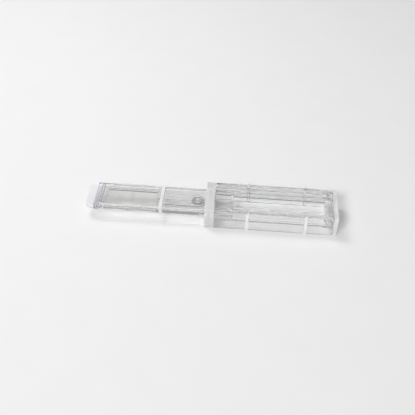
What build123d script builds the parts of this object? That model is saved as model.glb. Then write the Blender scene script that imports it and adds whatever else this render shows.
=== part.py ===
from build123d import *

import os

# A sliding counting-chamber cassette: a slide-sized clear tray that draws out of a clear open housing.
# Millimetres, +Z up. The origin is on the table plane, in the middle of the underside of the mouth wall.
# +X runs into the housing, which is also the direction in which the tray slides home.
# The tray is modelled fully drawn out, with its stop lugs against the housing's mouth wall.

# Housing
HOUSING_LENGTH = 89.0
HOUSING_WIDTH = 32.0
HOUSING_HEIGHT = 15.0
SHELL_WALL = 1.4
MOUTH_WALL = 3.8
MOUTH_FACE_X = -MOUTH_WALL / 2
TOP_PLATE = 1.4
TOP_OPENING_WIDTH = 20.0
SKIRT_DEPTH = 3.6
SKIRT_WALL = 1.0
CHANNEL_HALF = 13.0
GUIDE_WALL = 0.8
HOLLOW_END_X = 77.0
RAIL_TOP = 7.2
RAIL_THICKNESS = 1.0
RAIL_SPACING = 23.0
CORNER_RADIUS = 1.0
EDGE_RADIUS = 0.5
OPENING_EDGE_RADIUS = 0.7
FOOT_RADIUS = 0.5
INNER_EDGE_RADIUS = 0.25
RIB_WIDTH = 2.2
RIB_HEIGHT = 0.6
RIB_CENTRES_X = (25.0, 65.0)

# Mouth collar
COLLAR_THICKNESS = 2.8
PEG_RADIUS = 0.8
PEG_LENGTH = 2.0
PEG_SPACING_Y = 16.0

# End cap, with a plug in the tray's channel and a web across the openings
END_PLATE = 3.6
STOP_FACE_X = 78.7
WEB_THICKNESS = 2.8
WEB_FOOT_Z = 3.5

# Pins through the rim into the end cap's plug
PIN_RADIUS = 0.8
PIN_FOOT_Z = 8.5
PIN_CENTRE_Y = 11.5

# Tray
TRAY_WIDTH = 25.0
TRAY_HEIGHT = 3.8
TRAY_FLOOR = 1.8
TRAY_LEFT_X = -79.0
TRAY_TAIL_X = 14.6
TRAY_RIM = 2.0
RECESS_RADIUS = 0.5
TRAY_EDGE_RADIUS = 0.4
NOTCH_RADIUS = 1.2
NOTCH_DEPTH = 0.5
CROSS_BAR_CENTRE_X = -35.6
CROSS_BAR_WIDTH = 2.4
LUG_LENGTH = 3.0
LUG_HALF_WIDTH = 12.85

# Counting chamber, in the tray's long window
PLATE_THICKNESS = 0.9
CHAMBER_DEPTH = 0.1
FILM_GAP = 0.01
WINDOW_THICKNESS = 0.7
WINDOW_CHAMFER = 0.12
PLATE_MARGIN = 1.2
LIGHT_MARGIN = 2.4
CHAMBER_LENGTH = 15.0
CHAMBER_WIDTH = 14.0
CHAMBER_CORNER_RADIUS = 2.0
SPACER_BAR = 3.0
VENT_RADIUS = 0.4
VENT_INSET = 3.5

# Sample channel and port
CHANNEL_HALF_WIDTH = 4.8
CHANNEL_WALL = 1.0
CHANNEL_WALL_HEIGHT = 1.2
CHANNEL_END_X = -10.2
CHANNEL_COVER_THICKNESS = 0.6
GROOVE_WIDTH = 1.6
GROOVE_DEPTH = 0.8
SEAL_OUTER_RADIUS = 4.2
SEAL_INNER_RADIUS = 2.6
SEAL_HEIGHT = 0.9
SEAL_EDGE_RADIUS = 0.3
PORT_OUTER_RADIUS = 2.4
PORT_BORE_RADIUS = 1.1
PORT_MOUTH_DEPTH = 0.4
PORT_TOP_Z = 10.9

# End grip
GRIP_LENGTH = 3.0
GRIP_TONGUE_LENGTH = 1.4
GRIP_TONGUE_HALF_WIDTH = 9.0
GRIP_TONGUE_HEIGHT = 1.5
TAB_LENGTH = 6.0
TAB_THICKNESS = 1.2
TAB_CORNER_RADIUS = 5.0

# Gaps
BOND_LINE = 0.03
SLIDE_GAP = 0.1
WINDOW_GAP = 0.12

# Worked out from the above
SKIRT_BOTTOM = HOUSING_HEIGHT - SKIRT_DEPTH
TOP_PLATE_BOTTOM = HOUSING_HEIGHT - TOP_PLATE
SKIRT_HALF = TOP_OPENING_WIDTH / 2 + SKIRT_WALL
SHELL_HALF = HOUSING_WIDTH / 2 - SHELL_WALL
GUIDE_HALF = CHANNEL_HALF + GUIDE_WALL
RAIL_BOTTOM = RAIL_TOP - RAIL_THICKNESS
SLOT_HALF = TRAY_WIDTH / 2 + SLIDE_GAP
FRAME_LENGTH = HOUSING_LENGTH - END_PLATE
FRAME_END_X = MOUTH_FACE_X + FRAME_LENGTH
CAVITY_LEFT_X = MOUTH_FACE_X + MOUTH_WALL
CAVITY_LENGTH = FRAME_END_X - CAVITY_LEFT_X
CAVITY_CENTRE_X = (CAVITY_LEFT_X + FRAME_END_X) / 2
CAP_FACE_X = FRAME_END_X + BOND_LINE
COLLAR_BACK_X = MOUTH_FACE_X - BOND_LINE
TRAY_BOTTOM = RAIL_TOP + SLIDE_GAP
TRAY_TOP = TRAY_BOTTOM + TRAY_HEIGHT
FLOOR_TOP = TRAY_BOTTOM + TRAY_FLOOR
TRAY_INNER_HALF = TRAY_WIDTH / 2 - TRAY_RIM
CROSS_BAR_LEFT = CROSS_BAR_CENTRE_X - CROSS_BAR_WIDTH / 2
CROSS_BAR_RIGHT = CROSS_BAR_CENTRE_X + CROSS_BAR_WIDTH / 2
WINDOW_LEFT = TRAY_LEFT_X + TRAY_RIM
WINDOW_LENGTH = CROSS_BAR_LEFT - WINDOW_LEFT
WINDOW_CENTRE_X = (CROSS_BAR_LEFT + WINDOW_LEFT) / 2
WINDOW_BOTTOM = FLOOR_TOP + BOND_LINE
PLATE_TOP = WINDOW_BOTTOM - CHAMBER_DEPTH
SHELF_Z = PLATE_TOP - PLATE_THICKNESS - BOND_LINE
GRIP_LEFT_X = TRAY_LEFT_X - BOND_LINE - GRIP_LENGTH
MOUTH_PEG_HEIGHTS = (RAIL_TOP / 2, (SKIRT_BOTTOM + HOUSING_HEIGHT) / 2)
PIN_CENTRE_X = (STOP_FACE_X + FRAME_END_X) / 2
PIN_CENTRES = [(PIN_CENTRE_X, y) for y in (-PIN_CENTRE_Y, PIN_CENTRE_Y)]
PEG_CENTRES = [(y, z) for y in (-PEG_SPACING_Y / 2, PEG_SPACING_Y / 2) for z in MOUTH_PEG_HEIGHTS]


def housing_outline():
    """Sketch of the frame's outside with its upright ribs, rounded at the mouth, for use on a horizontal plane."""
    with BuildSketch() as outline:
        with Locations((MOUTH_FACE_X + FRAME_LENGTH / 2, 0)):
            Rectangle(FRAME_LENGTH, HOUSING_WIDTH)
        fillet(outline.vertices().group_by(Axis.X)[0], CORNER_RADIUS)
        for x in RIB_CENTRES_X:
            with Locations((x, 0)):
                RectangleRounded(RIB_WIDTH, HOUSING_WIDTH + 2 * RIB_HEIGHT, RIB_HEIGHT)
    return outline.sketch


def cavity(width):
    """Sketch of a rectangle from the mouth wall to the frame's open end, for use on a horizontal plane."""
    with BuildSketch() as outline:
        with Locations((CAVITY_CENTRE_X, 0)):
            Rectangle(CAVITY_LENGTH, width)
    return outline.sketch


def side_hollows(inner, outer):
    """Sketch of one long pocket along each side, between two distances from the middle."""
    with BuildSketch() as outline:
        for side in (-1, 1):
            with Locations(((CAVITY_LEFT_X + HOLLOW_END_X) / 2, side * (inner + outer) / 2)):
                Rectangle(HOLLOW_END_X - CAVITY_LEFT_X, outer - inner)
    return outline.sketch


def channel_shape(half_width):
    """Sketch of the sample channel: straight from the cross bar, with a round end at the port."""
    with BuildSketch() as outline:
        with Locations(((CROSS_BAR_RIGHT + CHANNEL_END_X) / 2, 0)):
            Rectangle(CHANNEL_END_X - CROSS_BAR_RIGHT, 2 * half_width)
        with Locations((CHANNEL_END_X, 0)):
            Circle(half_width)
    return outline.sketch


def window_shape(margin):
    """Sketch of the counting window, smaller than the space inside the tray's edge by a margin all round."""
    with BuildSketch() as outline:
        with Locations((WINDOW_CENTRE_X, 0)):
            RectangleRounded(WINDOW_LENGTH - 2 * margin, 2 * (TRAY_INNER_HALF - margin), RECESS_RADIUS)
    return outline.sketch


# Housing frame: a thin shell with the tray's slot in its mouth wall and a skirt round its top opening.
# A guide wall with a rail at its foot hangs from the rim on each side of the tray.
# It is open to the table below, and at its far end until the cap closes it.
with BuildPart() as housing_frame:
    with BuildSketch(Plane.XY):
        add(housing_outline())
    extrude(amount=HOUSING_HEIGHT)
    fillet(housing_frame.faces().sort_by(Axis.Z)[-1].edges().sort_by(Axis.X)[:-1], EDGE_RADIUS)
    fillet(housing_frame.faces().sort_by(Axis.Z)[0].edges().sort_by(Axis.X)[:-1], FOOT_RADIUS)
    with BuildSketch(Plane.XY.offset(SKIRT_BOTTOM)):
        add(cavity(TOP_OPENING_WIDTH))
    extrude(amount=SKIRT_DEPTH, mode=Mode.SUBTRACT)
    top_edges = housing_frame.faces().sort_by(Axis.Z)[-1].edges()
    fillet([edge for edge in top_edges if abs(edge.center().Y) <= TOP_OPENING_WIDTH / 2], OPENING_EDGE_RADIUS)
    with BuildSketch(Plane.XY.offset(RAIL_TOP)):
        add(cavity(2 * CHANNEL_HALF))
        with Locations((0, 0)):
            Rectangle(MOUTH_WALL, 2 * SLOT_HALF)
    extrude(amount=SKIRT_BOTTOM - RAIL_TOP, mode=Mode.SUBTRACT)
    with BuildSketch(Plane.XY.offset(RAIL_BOTTOM)):
        add(cavity(RAIL_SPACING))
    extrude(amount=RAIL_THICKNESS, mode=Mode.SUBTRACT)
    with BuildSketch(Plane.XY):
        add(cavity(2 * SHELL_HALF))
    extrude(amount=RAIL_BOTTOM, mode=Mode.SUBTRACT)
    with BuildSketch(Plane.XY.offset(RAIL_BOTTOM)):
        add(side_hollows(GUIDE_HALF, SHELL_HALF))
    extrude(amount=TOP_PLATE_BOTTOM - RAIL_BOTTOM, mode=Mode.SUBTRACT)
    with BuildSketch(Plane.XY.offset(SKIRT_BOTTOM)):
        add(side_hollows(SKIRT_HALF, CHANNEL_HALF))
    extrude(amount=TOP_PLATE_BOTTOM - SKIRT_BOTTOM, mode=Mode.SUBTRACT)
    with BuildSketch(Plane.XY.offset(SKIRT_BOTTOM)):
        with Locations(*PIN_CENTRES):
            Circle(PIN_RADIUS + BOND_LINE)
    extrude(amount=SKIRT_DEPTH, mode=Mode.SUBTRACT)
    with BuildSketch(Plane.YZ.offset(MOUTH_FACE_X)):
        with Locations(*PEG_CENTRES):
            Circle(PEG_RADIUS + BOND_LINE)
    extrude(amount=PEG_LENGTH + BOND_LINE, mode=Mode.SUBTRACT)
housing_frame.part.label = "housing_frame"

# Slotted plate on the mouth face, pegged into the frame
with BuildPart() as mouth_collar:
    with BuildSketch(Plane.XY):
        with Locations((COLLAR_BACK_X - COLLAR_THICKNESS / 2, 0)):
            Rectangle(COLLAR_THICKNESS, HOUSING_WIDTH)
    extrude(amount=HOUSING_HEIGHT)
    outer_face = mouth_collar.faces().sort_by(Axis.X)[0]
    fillet(outer_face.edges(), EDGE_RADIUS)
    with BuildSketch(Plane.YZ.offset(COLLAR_BACK_X - COLLAR_THICKNESS)):
        with Locations((0, (RAIL_TOP + SKIRT_BOTTOM) / 2)):
            Rectangle(2 * SLOT_HALF, SKIRT_BOTTOM - RAIL_TOP)
    extrude(amount=COLLAR_THICKNESS, mode=Mode.SUBTRACT)
    with BuildSketch(Plane.YZ.offset(COLLAR_BACK_X)):
        with Locations(*PEG_CENTRES):
            Circle(PEG_RADIUS)
    extrude(amount=PEG_LENGTH)
mouth_collar.part.label = "mouth_collar"

# End cap: outer plate, the plug that fills the end of the tray's channel, and the web that closes the openings
with BuildPart() as end_cap:
    with BuildSketch(Plane.XY) as plate:
        with Locations((CAP_FACE_X + (END_PLATE - BOND_LINE) / 2, 0)):
            Rectangle(END_PLATE - BOND_LINE, HOUSING_WIDTH)
        fillet(plate.vertices().group_by(Axis.X)[-1], CORNER_RADIUS)
    extrude(amount=HOUSING_HEIGHT)
    fillet(end_cap.faces().sort_by(Axis.Z)[-1].edges().sort_by(Axis.X)[1:], EDGE_RADIUS)
    fillet(end_cap.faces().sort_by(Axis.Z)[0].edges().sort_by(Axis.X)[1:], FOOT_RADIUS)
    with BuildSketch(Plane.YZ.offset(STOP_FACE_X)):
        with Locations((0, (RAIL_TOP + SKIRT_BOTTOM) / 2)):
            Rectangle(2 * (CHANNEL_HALF - BOND_LINE), SKIRT_BOTTOM - RAIL_TOP - 2 * BOND_LINE)
    extrude(amount=CAP_FACE_X - STOP_FACE_X)
    with BuildSketch(Plane.YZ.offset(STOP_FACE_X)):
        with Locations((0, (WEB_FOOT_Z + HOUSING_HEIGHT) / 2)):
            Rectangle(TOP_OPENING_WIDTH - 2 * SLIDE_GAP, HOUSING_HEIGHT - WEB_FOOT_Z)
    extrude(amount=WEB_THICKNESS)
    with BuildSketch(Plane.XY.offset(PIN_FOOT_Z)):
        with Locations(*PIN_CENTRES):
            Circle(PIN_RADIUS + BOND_LINE)
    extrude(amount=SKIRT_BOTTOM - PIN_FOOT_Z, mode=Mode.SUBTRACT)
end_cap.part.label = "end_cap"

# Two press pins that hold the end cap in the frame
with BuildPart() as end_pins:
    with BuildSketch(Plane.XY.offset(PIN_FOOT_Z + BOND_LINE)):
        with Locations(*PIN_CENTRES):
            Circle(PIN_RADIUS)
    extrude(amount=HOUSING_HEIGHT - PIN_FOOT_Z - 2 * BOND_LINE)
    chamfer(end_pins.faces().filter_by(Axis.Z).edges(), INNER_EDGE_RADIUS)
end_pins.part.label = "end_pins"

# Tray: floor with a raised edge, the counting window, the cross bar and the sample channel's wall
with BuildPart() as tray_frame:
    tray_length = TRAY_TAIL_X - TRAY_LEFT_X
    with BuildSketch(Plane.XY.offset(TRAY_BOTTOM)):
        with Locations((TRAY_LEFT_X + tray_length / 2, 0)):
            Rectangle(tray_length, TRAY_WIDTH)
    extrude(amount=TRAY_HEIGHT)
    # Recess inside the raised edge, on both sides of the cross bar
    with BuildSketch(Plane.XY.offset(FLOOR_TOP)):
        add(window_shape(0))
        with Locations(((CROSS_BAR_RIGHT + TRAY_TAIL_X - TRAY_RIM) / 2, 0)):
            RectangleRounded(TRAY_TAIL_X - TRAY_RIM - CROSS_BAR_RIGHT, 2 * TRAY_INNER_HALF, RECESS_RADIUS)
    extrude(amount=TRAY_HEIGHT, mode=Mode.SUBTRACT)
    top_face = tray_frame.faces().sort_by(Axis.Z)[-1]
    fillet(top_face.outer_wire().edges(), TRAY_EDGE_RADIUS)
    top_face = tray_frame.faces().sort_by(Axis.Z)[-1]
    fillet([edge for wire in top_face.inner_wires() for edge in wire.edges()], INNER_EDGE_RADIUS)
    fillet(tray_frame.faces().sort_by(Axis.Z)[0].outer_wire().edges(), INNER_EDGE_RADIUS)
    # Detent notch in each side at the cross bar
    with BuildSketch(Plane.XY.offset(TRAY_BOTTOM)):
        for side in (-1, 1):
            with Locations((CROSS_BAR_CENTRE_X, side * (TRAY_WIDTH / 2 + NOTCH_RADIUS - NOTCH_DEPTH))):
                Circle(NOTCH_RADIUS)
    extrude(amount=TRAY_HEIGHT, mode=Mode.SUBTRACT)
    # Seat of the counting plate, and the way through for light
    with BuildSketch(Plane.XY.offset(SHELF_Z)):
        add(window_shape(PLATE_MARGIN))
    extrude(amount=FLOOR_TOP - SHELF_Z, mode=Mode.SUBTRACT)
    with BuildSketch(Plane.XY.offset(TRAY_BOTTOM)):
        add(window_shape(LIGHT_MARGIN))
    extrude(amount=TRAY_FLOOR, mode=Mode.SUBTRACT)
    # U-shaped wall round the sample channel
    with BuildSketch(Plane.XY.offset(FLOOR_TOP)):
        add(channel_shape(CHANNEL_HALF_WIDTH + CHANNEL_WALL))
        add(channel_shape(CHANNEL_HALF_WIDTH), mode=Mode.SUBTRACT)
    extrude(amount=CHANNEL_WALL_HEIGHT)
    # Capillary groove from the port, under the cross bar, into the chamber
    groove_left = CROSS_BAR_LEFT - PLATE_MARGIN
    with BuildSketch(Plane.XY.offset(FLOOR_TOP - GROOVE_DEPTH)):
        with Locations(((groove_left + CHANNEL_END_X) / 2, 0)):
            Rectangle(CHANNEL_END_X - groove_left, GROOVE_WIDTH)
        with Locations((CHANNEL_END_X, 0)):
            Circle(GROOVE_WIDTH / 2)
    extrude(amount=GROOVE_DEPTH, mode=Mode.SUBTRACT)
    # Stop lugs behind the mouth wall, and guide lugs at the tail
    lug_lefts = (CAVITY_LEFT_X + BOND_LINE, TRAY_TAIL_X - LUG_LENGTH)
    with BuildSketch(Plane.XY.offset(TRAY_BOTTOM)):
        for left in lug_lefts:
            for side in (-1, 1):
                with Locations((left + LUG_LENGTH / 2, side * (LUG_HALF_WIDTH - TRAY_RIM / 2))):
                    Rectangle(LUG_LENGTH, TRAY_RIM)
    extrude(amount=TRAY_FLOOR)
    # Pocket for the grip's tongue
    with BuildSketch(Plane.YZ.offset(TRAY_LEFT_X)):
        with Locations((0, (TRAY_BOTTOM + TRAY_TOP) / 2)):
            Rectangle(2 * (GRIP_TONGUE_HALF_WIDTH + BOND_LINE), GRIP_TONGUE_HEIGHT + 2 * BOND_LINE)
    extrude(amount=GRIP_TONGUE_LENGTH + BOND_LINE, mode=Mode.SUBTRACT)
tray_frame.part.label = "tray_frame"

# Clear plate under the chamber, which carries the counting ruling on its upper face
with BuildPart() as counting_plate:
    with BuildSketch(Plane.XY.offset(SHELF_Z + BOND_LINE)):
        add(window_shape(PLATE_MARGIN + BOND_LINE))
    extrude(amount=PLATE_THICKNESS)
counting_plate.part.label = "counting_plate"

# Thin gasket that sets the chamber's depth, with one opening over each counting area
with BuildPart() as chamber_spacer:
    with BuildSketch(Plane.XY.offset(PLATE_TOP + FILM_GAP)):
        add(window_shape(PLATE_MARGIN + BOND_LINE))
        with Locations((WINDOW_CENTRE_X, 0)):
            with GridLocations(CHAMBER_LENGTH + SPACER_BAR, 0, 2, 1):
                RectangleRounded(CHAMBER_LENGTH, CHAMBER_WIDTH, CHAMBER_CORNER_RADIUS, mode=Mode.SUBTRACT)
            Rectangle(SPACER_BAR * 2, GROOVE_WIDTH, mode=Mode.SUBTRACT)
        with Locations((CROSS_BAR_LEFT - PLATE_MARGIN, 0)):
            Rectangle(WINDOW_LENGTH - 2 * PLATE_MARGIN - 2 * CHAMBER_LENGTH, GROOVE_WIDTH, mode=Mode.SUBTRACT)
    extrude(amount=CHAMBER_DEPTH - 2 * FILM_GAP)
chamber_spacer.part.label = "chamber_spacer"

# Cover window over the chamber, lying on the tray's floor inside the raised edge
with BuildPart() as cover_window:
    with BuildSketch(Plane.XY.offset(WINDOW_BOTTOM)):
        add(window_shape(WINDOW_GAP))
        with Locations((WINDOW_LEFT + VENT_INSET, 0)):
            Circle(VENT_RADIUS, mode=Mode.SUBTRACT)
    extrude(amount=WINDOW_THICKNESS)
    chamfer(cover_window.faces().sort_by(Axis.Z)[-1].outer_wire().edges(), WINDOW_CHAMFER)
cover_window.part.label = "cover_window"

# Strip that closes the sample channel, with the port's hole in its round end
with BuildPart() as channel_cover:
    with BuildSketch(Plane.XY.offset(FLOOR_TOP + BOND_LINE)):
        add(channel_shape(CHANNEL_HALF_WIDTH - 2 * BOND_LINE))
        with Locations((CROSS_BAR_RIGHT, 0)):
            Rectangle(4 * BOND_LINE, 2 * CHANNEL_HALF_WIDTH, mode=Mode.SUBTRACT)
        with Locations((CHANNEL_END_X, 0)):
            Circle(PORT_OUTER_RADIUS + BOND_LINE, mode=Mode.SUBTRACT)
    extrude(amount=CHANNEL_COVER_THICKNESS)
channel_cover.part.label = "channel_cover"

# Ring that guides a pipette tip into the channel, with a flared mouth
with BuildPart() as port_ring:
    with BuildSketch(Plane.XY.offset(FLOOR_TOP + BOND_LINE)):
        with Locations((CHANNEL_END_X, 0)):
            Circle(PORT_OUTER_RADIUS)
            Circle(PORT_BORE_RADIUS, mode=Mode.SUBTRACT)
    extrude(amount=PORT_TOP_Z - FLOOR_TOP - BOND_LINE)
    bore_mouth = port_ring.edges().filter_by(GeomType.CIRCLE).group_by(Axis.Z)[-1].sort_by(SortBy.RADIUS)[0]
    chamfer(bore_mouth, PORT_MOUTH_DEPTH)
port_ring.part.label = "port_ring"

# Soft ring round the port, lying on the channel cover
with BuildPart() as port_seal:
    with BuildSketch(Plane.XY.offset(FLOOR_TOP + CHANNEL_COVER_THICKNESS + 2 * BOND_LINE)):
        with Locations((CHANNEL_END_X, 0)):
            Circle(SEAL_OUTER_RADIUS)
            Circle(SEAL_INNER_RADIUS, mode=Mode.SUBTRACT)
    extrude(amount=SEAL_HEIGHT)
    fillet(port_seal.faces().sort_by(Axis.Z)[-1].edges(), SEAL_EDGE_RADIUS)
port_seal.part.label = "port_seal"

# Coloured grip moulded on the tray's far end: a bar as deep as the tray, and a thin round-cornered tab
with BuildPart() as end_grip:
    with BuildSketch(Plane.XY.offset(TRAY_BOTTOM)):
        with Locations((GRIP_LEFT_X + GRIP_LENGTH / 2, 0)):
            Rectangle(GRIP_LENGTH, TRAY_WIDTH)
    extrude(amount=TRAY_HEIGHT)
    fillet(end_grip.edges().filter_by(Axis.Y).sort_by(Axis.Z)[-2:], EDGE_RADIUS)
    with BuildSketch(Plane.XY.offset(TRAY_BOTTOM)) as tab:
        with Locations((GRIP_LEFT_X - TAB_LENGTH / 2, 0)):
            Rectangle(TAB_LENGTH, TRAY_WIDTH)
        fillet(tab.vertices().group_by(Axis.X)[0], TAB_CORNER_RADIUS)
    extrude(amount=TAB_THICKNESS)
    with BuildSketch(Plane.YZ.offset(TRAY_LEFT_X - BOND_LINE)):
        with Locations((0, (TRAY_BOTTOM + TRAY_TOP) / 2)):
            Rectangle(2 * GRIP_TONGUE_HALF_WIDTH, GRIP_TONGUE_HEIGHT)
    extrude(amount=GRIP_TONGUE_LENGTH)
end_grip.part.label = "end_grip"

os.makedirs("parts", exist_ok=True)
for node in (
    housing_frame,
    mouth_collar,
    end_cap,
    end_pins,
    tray_frame,
    counting_plate,
    chamber_spacer,
    cover_window,
    channel_cover,
    port_ring,
    port_seal,
    end_grip,
):
    export_step(node.part, f"parts/{node.part.label}.step")
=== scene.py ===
import math

import bmesh
import bpy
from mathutils import Matrix, Vector

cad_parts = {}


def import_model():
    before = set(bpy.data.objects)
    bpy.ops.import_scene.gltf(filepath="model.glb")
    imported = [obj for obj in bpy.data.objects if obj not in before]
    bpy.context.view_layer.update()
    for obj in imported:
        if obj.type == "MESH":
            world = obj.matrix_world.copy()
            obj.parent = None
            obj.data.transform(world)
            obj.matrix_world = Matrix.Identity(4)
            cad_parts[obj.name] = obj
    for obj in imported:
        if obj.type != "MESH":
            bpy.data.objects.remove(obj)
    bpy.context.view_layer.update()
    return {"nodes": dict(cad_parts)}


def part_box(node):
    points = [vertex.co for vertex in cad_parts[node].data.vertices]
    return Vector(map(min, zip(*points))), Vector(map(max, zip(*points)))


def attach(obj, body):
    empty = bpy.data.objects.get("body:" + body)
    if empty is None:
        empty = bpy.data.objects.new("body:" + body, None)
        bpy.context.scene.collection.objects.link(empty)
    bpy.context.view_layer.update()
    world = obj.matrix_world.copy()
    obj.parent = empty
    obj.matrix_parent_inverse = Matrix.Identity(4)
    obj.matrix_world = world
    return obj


# A clear counting-chamber cassette on a pale table: its plastics, the counting ruling, the light
# and the camera. Metres, in the frame's own axes.

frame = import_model()

MM = 0.001

# Camera, as angles round a point near the mouth of the housing
CAMERA_AZIMUTH = math.radians(2.9)
CAMERA_ELEVATION = math.radians(39.4)
CAMERA_ROLL = math.radians(2.0)
CAMERA_DISTANCE = 0.560
CAMERA_TARGET = Vector((-3.2, -2.9, 7.0)) * MM
CAMERA_LENS = 69.4
CAMERA_SENSOR = 36.0

# Room light: brightness near the horizon and overhead, and the heights between which it changes
ROOM_LOW = 0.26
ROOM_HIGH = 0.56
ROOM_LOW_Z = 0.60
ROOM_HIGH_Z = 0.85
ROOM_COLOUR = (1.0, 1.0, 1.0)

# Key panel, far off at the front left, and a fill panel close above the left end
KEY_DIRECTION = (-0.33, -0.70, 0.62)
KEY_DISTANCE = 3.0
KEY_SIZE = (0.9, 0.9)
KEY_POWER = 51.0
FILL_DIRECTION = (-0.42, 0.32, 0.85)
FILL_DISTANCE = 0.9
FILL_SIZE = (0.35, 0.35)
FILL_POWER = 2.65

# Clear walls pipe light through many inner reflections, so a path may bounce often
LIGHT_BOUNCES = 48
# Brightest light that a bounced path may bring, which holds back the glare under clear walls
BOUNCE_CLAMP = 6.0

# Moulded polystyrene: tint of the surface, what a thickness of it absorbs, and the wear on its polish
POLYSTYRENE_IOR = 1.59
POLYSTYRENE_TINT = (0.997, 0.997, 0.997)
POLYSTYRENE_ABSORPTION = (0.90, 0.905, 0.90)
POLYSTYRENE_DENSITY = 25.0
POLYSTYRENE_ROUGHNESS = (0.0, 0.03)
POLYSTYRENE_RIPPLE = 0.002

# Lavender plastic of the grip
LAVENDER_TINT = (0.985, 0.98, 0.995)
LAVENDER_ABSORPTION = (0.62, 0.56, 0.84)
LAVENDER_DENSITY = 22.0
LAVENDER_ROUGHNESS = (0.02, 0.10)
LAVENDER_RIPPLE = 0.01

# Thin sheets and film. The index is below acrylic's own 1.49, so that the stack of sheets loses less light
SHEET_IOR = 1.38
SHEET_TINT = (0.998, 0.998, 0.993)
FILM_TINT = (0.997, 0.997, 0.994)
SHEET_ROUGHNESS = (0.0, 0.04)
SHEET_RIPPLE = 0.01

# Hairline scuffs and mould-flow ripples, both drawn out along X
SCUFF_SCALE = 900.0
SCUFF_DETAIL = 4.0
SCUFF_STRETCH = (0.15, 1.0, 1.0)
SCUFF_RANGE = (0.55, 0.75)
FLOW_SCALE = 90.0
FLOW_DETAIL = 2.0
FLOW_STRETCH = (0.3, 1.0, 1.0)
FLOW_DEPTH = 0.2 * MM

# A textured band rougher than this also scatters part of the light, and so looks whitish
HAZE_FROM_ROUGHNESS = 0.30
HAZE = 0.55

# Textured bands: middle and half width along X, nearest and farthest distance from the long middle plane,
# and roughness. FULL_WIDTH reaches past the widest piece.
FULL_WIDTH = 20.0 * MM
HOUSING_BANDS = (
    # Upright ribs
    (25.0 * MM, 1.15 * MM, 16.05 * MM, FULL_WIDTH, 0.38),
    (65.0 * MM, 1.15 * MM, 16.05 * MM, FULL_WIDTH, 0.38),
    # Guide walls
    (39.0 * MM, 37.5 * MM, 12.9 * MM, 13.9 * MM, 0.12),
    # Mouth collar and mouth wall
    (-3.5 * MM, 1.7 * MM, 0.0, FULL_WIDTH, 0.35),
    (0.0, 2.0 * MM, 0.0, FULL_WIDTH, 0.35),
    # End cap's plug and outer plate
    (81.2 * MM, 2.8 * MM, 0.0, FULL_WIDTH, 0.20),
    (85.6 * MM, 1.6 * MM, 0.0, FULL_WIDTH, 0.31),
)
# Cross bar of the tray, and tab of the grip
TRAY_BANDS = ((-35.6 * MM, 1.1 * MM, 0.0, FULL_WIDTH, 0.38),)
GRIP_BANDS = ((-85.2 * MM, 3.1 * MM, 0.0, FULL_WIDTH, 0.34),)

# Soft ring: its two greys, and how far light spreads under its skin
SEAL_DARK = (0.26, 0.27, 0.28)
SEAL_LIGHT = (0.36, 0.37, 0.38)
SEAL_SCALE = 1500.0
SEAL_SCATTER = 0.3
SEAL_SCATTER_DEPTH = 1.0 * MM
SEAL_ROUGHNESS = 0.45

# Counting ruling: middles of the two chambers, the square's side, its divisions and the lines
RULING_CENTRES_X = (-65.9 * MM, -47.9 * MM)
RULING_SIDE = 3.0 * MM
RULING_SQUARES = 3
COARSE_DIVISIONS = 4
FINE_DIVISIONS = 5
RULING_LINE = 0.03 * MM
RULING_DEPTH = 0.01 * MM
RULING_GAP = 0.004 * MM
RULING_COLOUR = (0.55, 0.56, 0.57)
RULING_SCALE = 4000.0
RULING_RANGE = (0.3, 0.7)
RULING_ROUGHNESS = (0.5, 0.8)

# Table: half its side, how far it lies below the housing's foot, and its two whites
TABLE_HALF_SIDE = 2.0
TABLE_DROP = 0.02 * MM
TABLE_DARK = (0.83, 0.83, 0.835)
TABLE_LIGHT = (0.86, 0.86, 0.865)
TABLE_SCALE = 40.0
TABLE_ROUGHNESS = 0.7
TABLE_SPECULAR = 0.2

# Sockets of a Mix node that mixes colours
MIX_FACTOR = 0
MIX_FIRST = 6
MIX_SECOND = 7
MIX_RESULT = 2


def new_material(name):
    """An empty node material: the material, its tree, its Principled shader and its output."""
    material = bpy.data.materials.new(name)
    material.use_nodes = True
    tree = material.node_tree
    tree.nodes.clear()
    output = tree.nodes.new("ShaderNodeOutputMaterial")
    shader = tree.nodes.new("ShaderNodeBsdfPrincipled")
    tree.links.new(shader.outputs["BSDF"], output.inputs["Surface"])
    return material, tree, shader, output


def object_noise(tree, scale, detail=3.0, stretch=(1.0, 1.0, 1.0)):
    """Noise fixed to the object's own coordinates, with an optional stretch along each axis."""
    place = tree.nodes.new("ShaderNodeTexCoord")
    mapping = tree.nodes.new("ShaderNodeMapping")
    mapping.inputs["Scale"].default_value = stretch
    noise = tree.nodes.new("ShaderNodeTexNoise")
    noise.inputs["Scale"].default_value = scale
    noise.inputs["Detail"].default_value = detail
    tree.links.new(place.outputs["Object"], mapping.inputs["Vector"])
    tree.links.new(mapping.outputs["Vector"], noise.inputs["Vector"])
    return noise.outputs["Fac"]


def remap(tree, value, old_range, new_range):
    """The value taken from one range to another, held at its ends."""
    node = tree.nodes.new("ShaderNodeMapRange")
    node.inputs["From Min"].default_value = old_range[0]
    node.inputs["From Max"].default_value = old_range[1]
    node.inputs["To Min"].default_value = new_range[0]
    node.inputs["To Max"].default_value = new_range[1]
    tree.links.new(value, node.inputs["Value"])
    return node.outputs["Result"]


def combine(tree, operation, *values):
    """A Math node's result, from numbers or from other nodes' outputs."""
    node = tree.nodes.new("ShaderNodeMath")
    node.operation = operation
    for socket, value in zip(node.inputs, values):
        if isinstance(value, (int, float)):
            socket.default_value = value
        else:
            tree.links.new(value, socket)
    return node.outputs["Value"]


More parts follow.
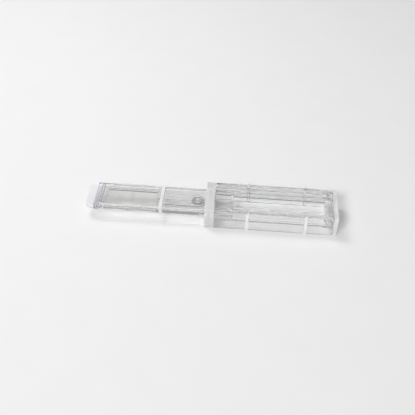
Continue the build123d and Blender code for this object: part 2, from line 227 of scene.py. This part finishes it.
def two_tone(tree, shader, noise, first, second):
    """Base colour that wanders between two tones with the noise."""
    mix = tree.nodes.new("ShaderNodeMix")
    mix.data_type = "RGBA"
    mix.inputs[MIX_FIRST].default_value = (*first, 1)
    mix.inputs[MIX_SECOND].default_value = (*second, 1)
    tree.links.new(noise, mix.inputs[MIX_FACTOR])
    tree.links.new(mix.outputs[MIX_RESULT], shader.inputs["Base Color"])


def band_roughness(tree, bands):
    """The roughness of the textured bands, and zero elsewhere."""
    place = tree.nodes.new("ShaderNodeTexCoord")
    split = tree.nodes.new("ShaderNodeSeparateXYZ")
    tree.links.new(place.outputs["Object"], split.inputs["Vector"])
    outward = combine(tree, "ABSOLUTE", split.outputs["Y"])
    result = 0.0
    for middle, half_width, nearest, farthest, roughness in bands:
        along = combine(tree, "COMPARE", split.outputs["X"], middle, half_width)
        across = combine(tree, "COMPARE", outward, (nearest + farthest) / 2, (farthest - nearest) / 2)
        inside = combine(tree, "MULTIPLY", along, across)
        band = combine(tree, "MULTIPLY", inside, roughness)
        result = combine(tree, "MAXIMUM", result, band)
    return result


def add_bands(tree, shader, polish, bands):
    """Roughness with the textured bands laid over the polish, and the scatter of the roughest bands."""
    texture = band_roughness(tree, bands)
    tree.links.new(combine(tree, "MAXIMUM", polish, texture), shader.inputs["Roughness"])
    hazy = combine(tree, "GREATER_THAN", texture, HAZE_FROM_ROUGHNESS)
    haze = combine(tree, "MULTIPLY", hazy, HAZE)
    tree.links.new(combine(tree, "SUBTRACT", 1.0, haze), shader.inputs["Transmission Weight"])


def absorb(tree, output, colour, density):
    """Light lost inside the plastic, so that thick places look darker and more coloured."""
    volume = tree.nodes.new("ShaderNodeVolumeAbsorption")
    volume.inputs["Color"].default_value = (*colour, 1)
    volume.inputs["Density"].default_value = density
    tree.links.new(volume.outputs["Volume"], output.inputs["Volume"])


def clear_plastic(name, tint, ior, roughness, ripple):
    """Clear plastic with a slight tint, hairline scuffs in its roughness and ripples in its normal.

    Gives the material, its tree, shader and output, and the roughness of the polished surface.
    """
    material, tree, shader, output = new_material(name)
    shader.inputs["Base Color"].default_value = (*tint, 1)
    shader.inputs["Transmission Weight"].default_value = 1.0
    shader.inputs["IOR"].default_value = ior
    scuffs = object_noise(tree, SCUFF_SCALE, SCUFF_DETAIL, SCUFF_STRETCH)
    polish = remap(tree, scuffs, SCUFF_RANGE, roughness)
    tree.links.new(polish, shader.inputs["Roughness"])
    flow = object_noise(tree, FLOW_SCALE, FLOW_DETAIL, FLOW_STRETCH)
    bump = tree.nodes.new("ShaderNodeBump")
    bump.inputs["Strength"].default_value = ripple
    bump.inputs["Distance"].default_value = FLOW_DEPTH
    tree.links.new(flow, bump.inputs["Height"])
    tree.links.new(bump.outputs["Normal"], shader.inputs["Normal"])
    return material, tree, shader, output, polish


def moulded_polystyrene(name, bands):
    """Clear polystyrene of the two mouldings, with textured bands."""
    material, tree, shader, output, polish = clear_plastic(
        name, POLYSTYRENE_TINT, POLYSTYRENE_IOR, POLYSTYRENE_ROUGHNESS, POLYSTYRENE_RIPPLE
    )
    add_bands(tree, shader, polish, bands)
    absorb(tree, output, POLYSTYRENE_ABSORPTION, POLYSTYRENE_DENSITY)
    return material


def lavender_plastic():
    """Translucent lavender polystyrene of the grip, with a textured tab."""
    material, tree, shader, output, polish = clear_plastic(
        "grip_lavender", LAVENDER_TINT, POLYSTYRENE_IOR, LAVENDER_ROUGHNESS, LAVENDER_RIPPLE
    )
    add_bands(tree, shader, polish, GRIP_BANDS)
    absorb(tree, output, LAVENDER_ABSORPTION, LAVENDER_DENSITY)
    return material


def thin_sheet(name, tint):
    """Clear sheet or film, too thin to absorb."""
    return clear_plastic(name, tint, SHEET_IOR, SHEET_ROUGHNESS, SHEET_RIPPLE)[0]


def soft_silicone():
    """Translucent grey elastomer with a fine matt skin."""
    material, tree, shader, _ = new_material("seal_silicone")
    two_tone(tree, shader, object_noise(tree, SEAL_SCALE), SEAL_DARK, SEAL_LIGHT)
    shader.inputs["Subsurface Weight"].default_value = SEAL_SCATTER
    shader.inputs["Subsurface Radius"].default_value = (SEAL_SCATTER_DEPTH,) * 3
    shader.inputs["Roughness"].default_value = SEAL_ROUGHNESS
    return material


def etched_lines():
    """Pale grey of the ruling's lines."""
    material, tree, shader, _ = new_material("etched_lines")
    shade = object_noise(tree, RULING_SCALE)
    tree.links.new(remap(tree, shade, RULING_RANGE, RULING_ROUGHNESS), shader.inputs["Roughness"])
    shader.inputs["Base Color"].default_value = (*RULING_COLOUR, 1)
    return material


def assign(material, *nodes):
    """Gives CAD nodes a material in their own slots."""
    for name in nodes:
        obj = frame["nodes"][name]
        obj.data.materials.clear()
        obj.data.materials.append(material)


def dress_frame():
    """Materials of the CAD pieces."""
    housing = moulded_polystyrene("housing_polystyrene", HOUSING_BANDS)
    tray = moulded_polystyrene("tray_polystyrene", TRAY_BANDS)
    assign(housing, "housing_frame", "mouth_collar", "end_cap", "end_pins")
    assign(tray, "tray_frame", "port_ring")
    assign(thin_sheet("sheet_acrylic", SHEET_TINT), "counting_plate", "cover_window", "channel_cover")
    assign(thin_sheet("spacer_film", FILM_TINT), "chamber_spacer")
    assign(soft_silicone(), "port_seal")
    assign(lavender_plastic(), "end_grip")


def finish_mesh(name, shape, material):
    """The shape as an object in the scene, with its material."""
    mesh = bpy.data.meshes.new(name)
    shape.to_mesh(mesh)
    shape.free()
    mesh.materials.append(material)
    obj = bpy.data.objects.new(name, mesh)
    bpy.context.scene.collection.objects.link(obj)
    return obj


def ruling_positions(step, reach):
    """Positions of a ruling's lines, evenly spaced between minus and plus a reach."""
    count = round(2 * reach / step)
    return [index * step - reach for index in range(count + 1)]


def add_line(shape, middle, half_size):
    """One fine raised line, as a flat box."""
    line = bmesh.ops.create_cube(shape, size=2.0)
    bmesh.ops.scale(shape, vec=half_size, verts=line["verts"])
    bmesh.ops.translate(shape, vec=middle, verts=line["verts"])


def counting_ruling():
    """Fine square grid in the middle of each chamber, just above the counting plate."""
    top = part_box("counting_plate")[1][2] + RULING_GAP + RULING_DEPTH / 2
    reach = RULING_SIDE / 2
    square = RULING_SIDE / RULING_SQUARES
    coarse = ruling_positions(square / COARSE_DIVISIONS, reach)
    fine = ruling_positions(square / FINE_DIVISIONS, square / 2)
    shape = bmesh.new()
    for centre_x in RULING_CENTRES_X:
        for offsets, length in ((coarse, reach), (fine, square / 2)):
            for offset in offsets:
                across = (RULING_LINE / 2, length, RULING_DEPTH / 2)
                along = (length, RULING_LINE / 2, RULING_DEPTH / 2)
                add_line(shape, (centre_x + offset, 0, top), across)
                add_line(shape, (centre_x, offset, top), along)
    ruling = finish_mesh("counting_ruling", shape, etched_lines())
    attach(ruling, "tray")


def floor():
    """Plain pale table, a fine matt surface."""
    material, tree, shader, _ = new_material("table_white")
    two_tone(tree, shader, object_noise(tree, TABLE_SCALE), TABLE_DARK, TABLE_LIGHT)
    shader.inputs["Roughness"].default_value = TABLE_ROUGHNESS
    shader.inputs["Specular IOR Level"].default_value = TABLE_SPECULAR
    shape = bmesh.new()
    bmesh.ops.create_grid(shape, x_segments=2, y_segments=2, size=TABLE_HALF_SIDE)
    table = finish_mesh("table", shape, material)
    table.location.z = -TABLE_DROP


def area_light(name, direction, distance, size, power):
    """Soft panel that faces the origin from a direction."""
    data = bpy.data.lights.new(name, "AREA")
    data.shape = "RECTANGLE"
    data.size, data.size_y = size
    data.energy = power
    light = bpy.data.objects.new(name, data)
    way = Vector(direction).normalized()
    light.location = way * distance
    light.rotation_euler = way.to_track_quat("Z", "Y").to_euler()
    bpy.context.scene.collection.objects.link(light)


def world():
    """Pale room: bright above, greyer towards the horizon."""
    room = bpy.data.worlds.new("room")
    room.use_nodes = True
    tree = room.node_tree
    tree.nodes.clear()
    output = tree.nodes.new("ShaderNodeOutputWorld")
    background = tree.nodes.new("ShaderNodeBackground")
    place = tree.nodes.new("ShaderNodeTexCoord")
    split = tree.nodes.new("ShaderNodeSeparateXYZ")
    tree.links.new(place.outputs["Generated"], split.inputs["Vector"])
    height = split.outputs["Z"]
    strength = remap(tree, height, (ROOM_LOW_Z, ROOM_HIGH_Z), (ROOM_LOW, ROOM_HIGH))
    tree.links.new(strength, background.inputs["Strength"])
    background.inputs["Color"].default_value = (*ROOM_COLOUR, 1)
    tree.links.new(background.outputs["Background"], output.inputs["Surface"])
    bpy.context.scene.world = room


def camera():
    """Camera in front of the long side, looking down at the mouth of the housing."""
    data = bpy.data.cameras.new("camera")
    data.lens = CAMERA_LENS
    data.sensor_width = CAMERA_SENSOR
    back = Vector((
        math.sin(CAMERA_AZIMUTH) * math.cos(CAMERA_ELEVATION),
        -math.cos(CAMERA_AZIMUTH) * math.cos(CAMERA_ELEVATION),
        math.sin(CAMERA_ELEVATION),
    ))
    right = Vector((math.cos(CAMERA_AZIMUTH), math.sin(CAMERA_AZIMUTH), 0))
    up = back.cross(right)
    turn = Matrix((right, up, back)).transposed().to_4x4() @ Matrix.Rotation(CAMERA_ROLL, 4, "Z")
    view = bpy.data.objects.new("camera", data)
    view.matrix_world = Matrix.Translation(CAMERA_TARGET + back * CAMERA_DISTANCE) @ turn
    bpy.context.scene.collection.objects.link(view)
    bpy.context.scene.camera = view


def light_paths():
    """Plain colour transform, and paths long enough to pass many clear walls without a blur."""
    scene = bpy.context.scene
    scene.view_settings.view_transform = "Standard"
    scene.cycles.max_bounces = LIGHT_BOUNCES
    scene.cycles.transmission_bounces = LIGHT_BOUNCES
    scene.cycles.glossy_bounces = LIGHT_BOUNCES
    scene.cycles.blur_glossy = 0.0
    scene.cycles.sample_clamp_indirect = BOUNCE_CLAMP


dress_frame()
counting_ruling()
floor()
world()
area_light("key_panel", KEY_DIRECTION, KEY_DISTANCE, KEY_SIZE, KEY_POWER)
area_light("fill_panel", FILL_DIRECTION, FILL_DISTANCE, FILL_SIZE, FILL_POWER)
camera()
light_paths()
